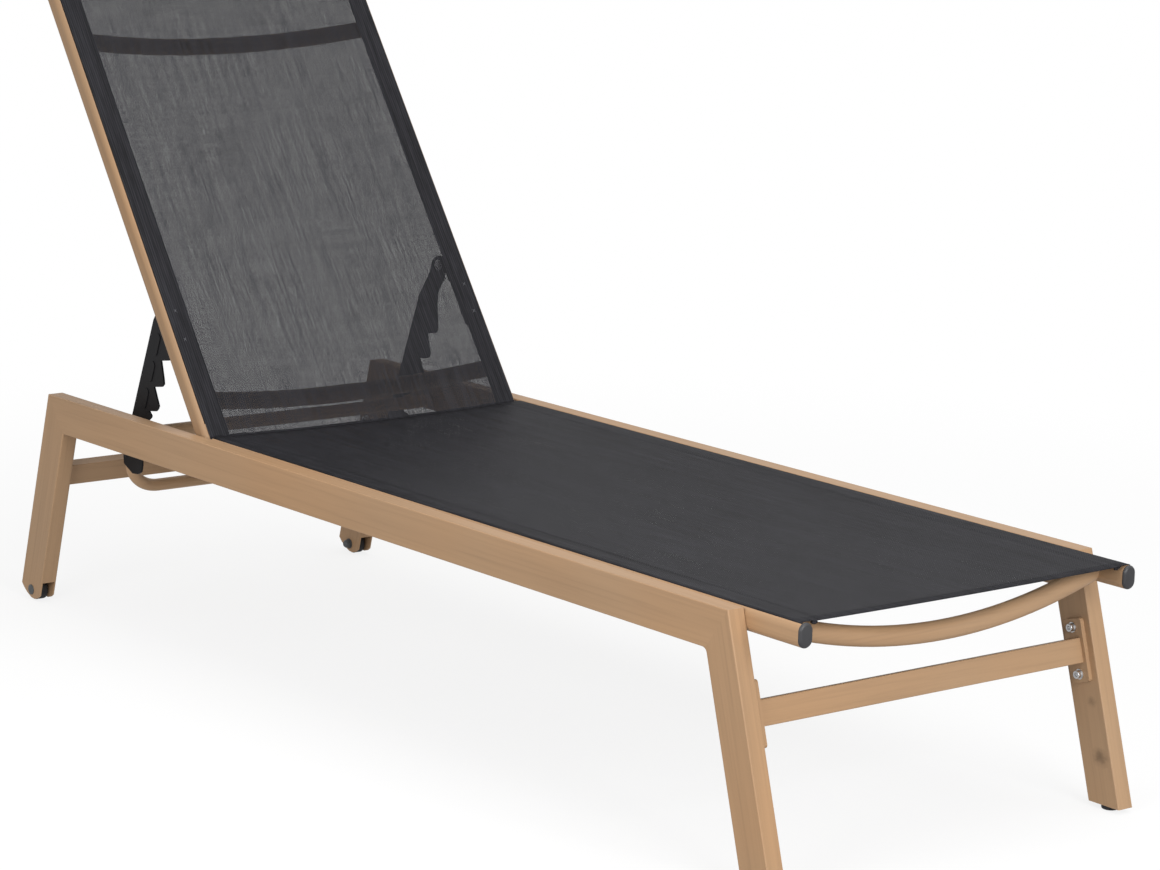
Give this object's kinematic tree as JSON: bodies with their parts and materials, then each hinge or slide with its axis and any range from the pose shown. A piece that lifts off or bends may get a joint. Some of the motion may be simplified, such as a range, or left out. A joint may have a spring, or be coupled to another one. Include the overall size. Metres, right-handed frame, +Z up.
{
  "type": "sun lounger",
  "caption": "Reclining garden sun lounger: a tube frame with a stretched mesh seat, a hinged mesh backrest held by notched racks, and small wheels under the rear legs.",
  "frame": {"origin": "on the ground, under the middle of the lounger's bounding box with the backrest raised", "axes": "+Z up, +Y towards the head end, -Y towards the foot end, +X to the right as seen from the foot end"},
  "size_m": [0.607, 1.701, 0.9215],
  "materials": {
    "frame": "wood-look film on aluminium tube, light oak, satin",
    "rack": "black powder coat",
    "steel": "zinc-plated fasteners",
    "cap_black": "moulded black plastic",
    "cap_grey": "moulded grey plastic",
    "wheel": "moulded black wheel",
    "mesh": "woven plastic-coated mesh, charcoal"
  },
  "bodies": {
    "base": {"rail_left": "frame", "rail_right": "frame", "rear_leg_left": "frame", "rear_leg_right": "frame", "front_leg_left": "frame", "front_leg_right": "frame", "foot_pads": "cap_black", "leg_crossbar_front": "frame", "leg_crossbar_rear": "frame", "crossbar_end_plates": "frame", "crossbar_bolts": "steel", "crossbar_washers": "steel", "crossbar_nuts": "steel", "seat_tube_left": "frame", "seat_tube_right": "frame", "seat_tube_caps": "cap_black", "seat_crossbar_front": "frame", "seat_crossbar_middle": "frame", "seat_crossbar_rear": "frame", "support_bar": "frame", "seat_fabric": "mesh", "seat_sling_rods": "cap_black", "hinge_pins": "steel", "hinge_washers": "cap_black", "hinge_nuts": "steel", "wheel_axles": "cap_grey", "axle_caps": "cap_grey"},
    "backrest": {"backrest_tube_left": "frame", "backrest_tube_right": "frame", "backrest_tube_caps": "cap_black", "backrest_crossbar_lower": "frame", "backrest_crossbar_upper": "frame", "backrest_fabric": "mesh", "backrest_sling_rods": "cap_black", "hinge_bushes": "cap_black", "rack_bracket_left": "rack", "rack_bracket_right": "rack", "bracket_screws": "steel", "rack_pivot_bolts": "steel", "rack_spacers": "cap_black"},
    "prop": {"rack_left": "rack", "rack_right": "rack", "prop_handle": "frame", "handle_rivets": "steel"},
    "wheel_left": {"wheel_left": "wheel"},
    "wheel_right": {"wheel_right": "wheel"}
  },
  "joints": [
    {"name": "backrest_hinge", "type": "hinge", "parent": "base", "child": "backrest", "pos_m": [0, 0.4047, 0.306], "axis": [1, 0, 0], "range_deg": [-54.2, 0]},
    {"name": "prop_pivot", "type": "hinge", "parent": "backrest", "child": "prop", "pos_m": [0, 0.54489, 0.50326], "axis": [1, 0, 0], "range_deg": [0, 63]},
    {"name": "wheel_left_spin", "type": "hinge", "parent": "base", "child": "wheel_left", "pos_m": [-0.2875, 0.8251, 0.0155], "axis": [1, 0, 0], "continuous": true},
    {"name": "wheel_right_spin", "type": "hinge", "parent": "base", "child": "wheel_right", "pos_m": [0.2875, 0.8251, 0.0155], "axis": [1, 0, 0], "continuous": true}
  ],
  "couplings": [
    {"joint": "prop_pivot", "follows": "backrest_hinge", "ratio": -1.16}
  ]
}
